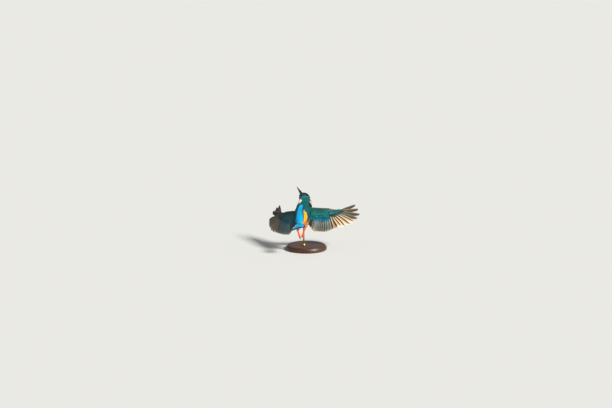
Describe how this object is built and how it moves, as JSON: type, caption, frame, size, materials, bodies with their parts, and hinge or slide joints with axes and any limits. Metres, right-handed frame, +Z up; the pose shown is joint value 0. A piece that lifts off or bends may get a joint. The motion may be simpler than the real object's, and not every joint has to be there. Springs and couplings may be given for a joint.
{
  "type": "flying common kingfisher on a display stand",
  "caption": "Life-size common kingfisher, wings spread and turned away in a climb, head turned left, held by one rod on a round wooden base.",
  "frame": {"origin": "centre of the underside of the display stand's round base", "axes": "+Z up from the floor; +Y the way the bird flies; +X to its right, towards its right wing"},
  "size_m": [0.2051, 0.184, 0.1285],
  "materials": {
    "crown_green_blue": "dark green-blue feathers barred with bright blue",
    "mantle_azure": "brilliant azure back stripe between dark green-blue shoulders",
    "belly_rufous": "orange-rufous feathers",
    "wing_green_blue": "green-blue coverts with bright blue spots",
    "flight_feather_dark": "dark brown vanes with teal outer and pale inner edges",
    "tail_deep_blue": "deep blue tail feathers",
    "bill_black": "smooth dark horn",
    "eye_dark": "wet, very dark brown",
    "foot_coral": "coral-red scaly skin",
    "stand_walnut": "oiled walnut",
    "stand_brass": "satin brass"
  },
  "bodies": {
    "root": {"head": "crown_green_blue", "neck": "crown_green_blue", "trunk": "mantle_azure", "rump": "mantle_azure", "tail": "tail_deep_blue", "bill_upper": "bill_black", "bill_lower": "bill_black", "eye_left": "eye_dark", "eye_right": "eye_dark", "wing_left_arm": "wing_green_blue", "wing_left_hand": "wing_green_blue", "wing_left_primaries": "flight_feather_dark", "wing_left_secondaries": "flight_feather_dark", "wing_left_tertials": "wing_green_blue", "wing_right_arm": "wing_green_blue", "wing_right_hand": "wing_green_blue", "wing_right_primaries": "flight_feather_dark", "wing_right_secondaries": "flight_feather_dark", "wing_right_tertials": "wing_green_blue", "leg_left_thigh": "belly_rufous", "leg_right_thigh": "belly_rufous", "leg_left_foot": "foot_coral", "leg_right_foot": "foot_coral", "stand_base": "stand_walnut", "stand_collar": "stand_brass", "stand_rod": "stand_brass"}
  },
  "joints": []
}
